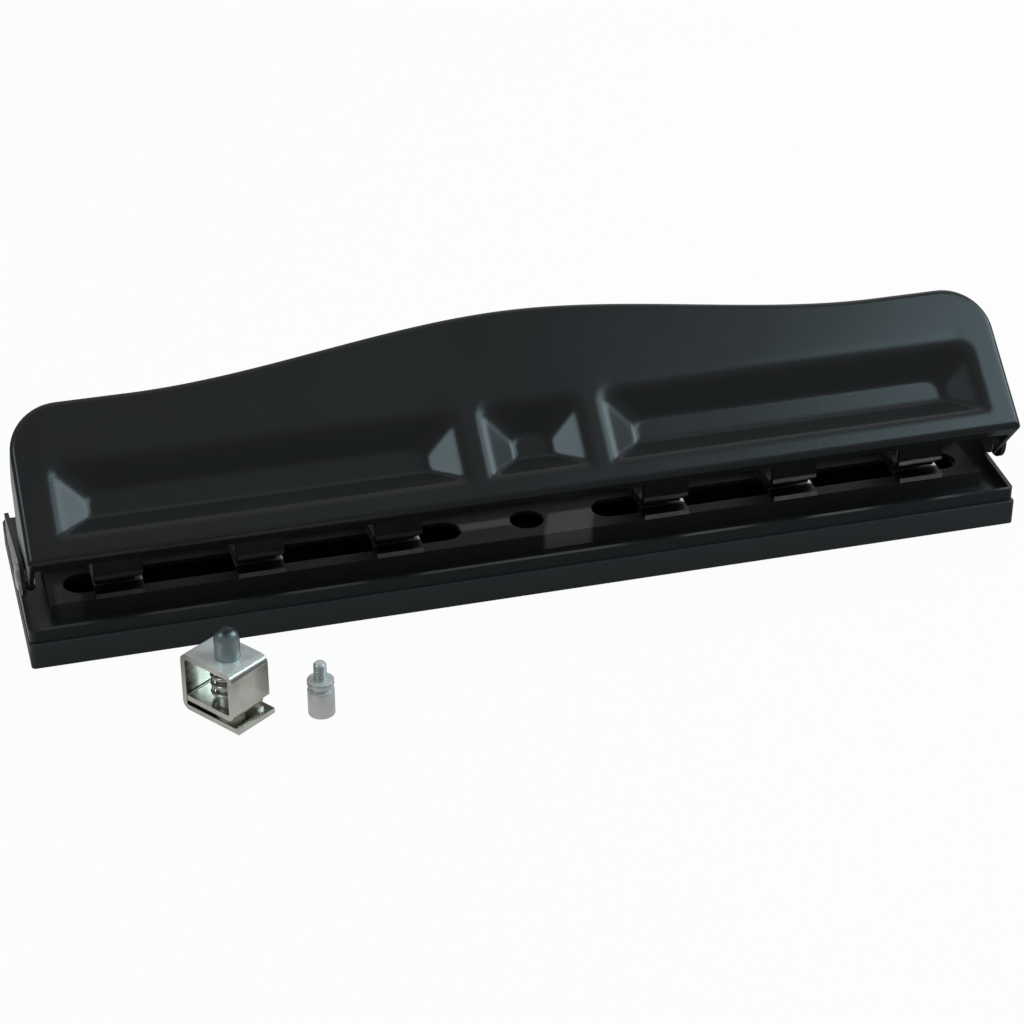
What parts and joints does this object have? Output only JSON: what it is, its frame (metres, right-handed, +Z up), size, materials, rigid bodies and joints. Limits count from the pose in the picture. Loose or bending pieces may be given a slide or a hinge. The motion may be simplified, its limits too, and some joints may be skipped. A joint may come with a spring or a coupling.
{
  "type": "planner hole punch",
  "caption": "Desk hole punch with a long push-back lever over a row of removable sprung punch heads, a sheet steel frame and a chip tray.",
  "frame": {"origin": "middle of the chip tray's underside, on the table", "axes": "+X along the punch to the right, +Y from the paper mouth to the back, +Z up"},
  "size_m": [0.282, 0.1126, 0.0683],
  "materials": {
    "tray_plastic": "fine satin black",
    "black_paint": "satin black enamel",
    "lever_paint": "semi-gloss black enamel",
    "rivet_steel": "zinc-plated",
    "nickel_plate": "bright nickel plate",
    "pin_steel": "polished hardened steel",
    "cutter_steel": "satin turned steel",
    "spring_wire": "drawn spring wire"
  },
  "bodies": {
    "tray": {"chip_tray": "tray_plastic"},
    "frame": {"base_frame": "black_paint", "head_rail": "black_paint", "rail_rivets": "rivet_steel", "pivot_rivet_left": "rivet_steel", "pivot_rivet_right": "rivet_steel"},
    "lever": {"lever_handle": "lever_paint"},
    "head_1": {"head_1_bracket": "nickel_plate", "head_1_spring": "spring_wire"},
    "pin_1": {"head_1_pin": "pin_steel", "head_1_cutter": "cutter_steel"},
    "head_2": {"head_2_bracket": "nickel_plate", "head_2_spring": "spring_wire"},
    "pin_2": {"head_2_pin": "pin_steel", "head_2_cutter": "cutter_steel"},
    "head_3": {"head_3_bracket": "nickel_plate", "head_3_spring": "spring_wire"},
    "pin_3": {"head_3_pin": "pin_steel", "head_3_cutter": "cutter_steel"},
    "head_4": {"head_4_bracket": "nickel_plate", "head_4_spring": "spring_wire"},
    "pin_4": {"head_4_pin": "pin_steel", "head_4_cutter": "cutter_steel"},
    "head_5": {"head_5_bracket": "nickel_plate", "head_5_spring": "spring_wire"},
    "pin_5": {"head_5_pin": "pin_steel", "head_5_cutter": "cutter_steel"},
    "head_6": {"head_6_bracket": "nickel_plate", "head_6_spring": "spring_wire"},
    "pin_6": {"head_6_pin": "pin_steel", "head_6_cutter": "cutter_steel"},
    "loose_head": {"loose_head_bracket": "nickel_plate", "loose_head_spring": "spring_wire"},
    "loose_pin": {"loose_head_pin": "pin_steel", "loose_head_cutter": "cutter_steel"},
    "loose_cutter": {"loose_cutter": "cutter_steel"}
  },
  "joints": [
    {"name": "frame_lift", "type": "slide", "parent": "tray", "child": "frame", "axis": [0, 0, 1], "range_m": [0, 0.03]},
    {"name": "lever_press", "type": "hinge", "parent": "frame", "child": "lever", "pos_m": [0, -0.0198, 0.0203], "axis": [-1, 0, 0], "range_deg": [0, 24], "stiffness_Nm_per_rad": 0.9, "springref_deg": -7.45},
    {"name": "head_1_shift", "type": "slide", "parent": "frame", "child": "head_1", "axis": [1, 0, 0], "range_m": [-0.003, 0.008]},
    {"name": "pin_1_stroke", "type": "slide", "parent": "head_1", "child": "pin_1", "axis": [0, 0, -1], "range_m": [0, 0.0042], "deforming": ["head_1_spring"]},
    {"name": "head_2_shift", "type": "slide", "parent": "frame", "child": "head_2", "axis": [1, 0, 0], "range_m": [-0.008, 0.008]},
    {"name": "pin_2_stroke", "type": "slide", "parent": "head_2", "child": "pin_2", "axis": [0, 0, -1], "range_m": [0, 0.0042], "deforming": ["head_2_spring"]},
    {"name": "head_3_shift", "type": "slide", "parent": "frame", "child": "head_3", "axis": [1, 0, 0], "range_m": [-0.008, 0.008]},
    {"name": "pin_3_stroke", "type": "slide", "parent": "head_3", "child": "pin_3", "axis": [0, 0, -1], "range_m": [0, 0.0042], "deforming": ["head_3_spring"]},
    {"name": "head_4_shift", "type": "slide", "parent": "frame", "child": "head_4", "axis": [1, 0, 0], "range_m": [-0.008, 0.008]},
    {"name": "pin_4_stroke", "type": "slide", "parent": "head_4", "child": "pin_4", "axis": [0, 0, -1], "range_m": [0, 0.0042], "deforming": ["head_4_spring"]},
    {"name": "head_5_shift", "type": "slide", "parent": "frame", "child": "head_5", "axis": [1, 0, 0], "range_m": [-0.008, 0.008]},
    {"name": "pin_5_stroke", "type": "slide", "parent": "head_5", "child": "pin_5", "axis": [0, 0, -1], "range_m": [0, 0.0042], "deforming": ["head_5_spring"]},
    {"name": "head_6_shift", "type": "slide", "parent": "frame", "child": "head_6", "axis": [1, 0, 0], "range_m": [-0.008, 0.003]},
    {"name": "pin_6_stroke", "type": "slide", "parent": "head_6", "child": "pin_6", "axis": [0, 0, -1], "range_m": [0, 0.0042], "deforming": ["head_6_spring"]},
    {"name": "loose_head_lift", "type": "slide", "parent": "tray", "child": "loose_head", "axis": [0, 0, 1], "range_m": [0, 0.05]},
    {"name": "loose_pin_stroke", "type": "slide", "parent": "loose_head", "child": "loose_pin", "axis": [0, 0, -1], "range_m": [0, 0.0042], "stiffness_N_per_m": 1500, "springref_m": -0.002, "deforming": ["loose_head_spring"]},
    {"name": "loose_cutter_lift", "type": "slide", "parent": "tray", "child": "loose_cutter", "axis": [0, 0, 1], "range_m": [0, 0.05]}
  ],
  "couplings": [
    {"joint": "pin_1_stroke", "follows": "lever_press", "m_per_rad": 0.01},
    {"joint": "pin_2_stroke", "follows": "lever_press", "m_per_rad": 0.01},
    {"joint": "pin_3_stroke", "follows": "lever_press", "m_per_rad": 0.01},
    {"joint": "pin_4_stroke", "follows": "lever_press", "m_per_rad": 0.01},
    {"joint": "pin_5_stroke", "follows": "lever_press", "m_per_rad": 0.01},
    {"joint": "pin_6_stroke", "follows": "lever_press", "m_per_rad": 0.01}
  ]
}
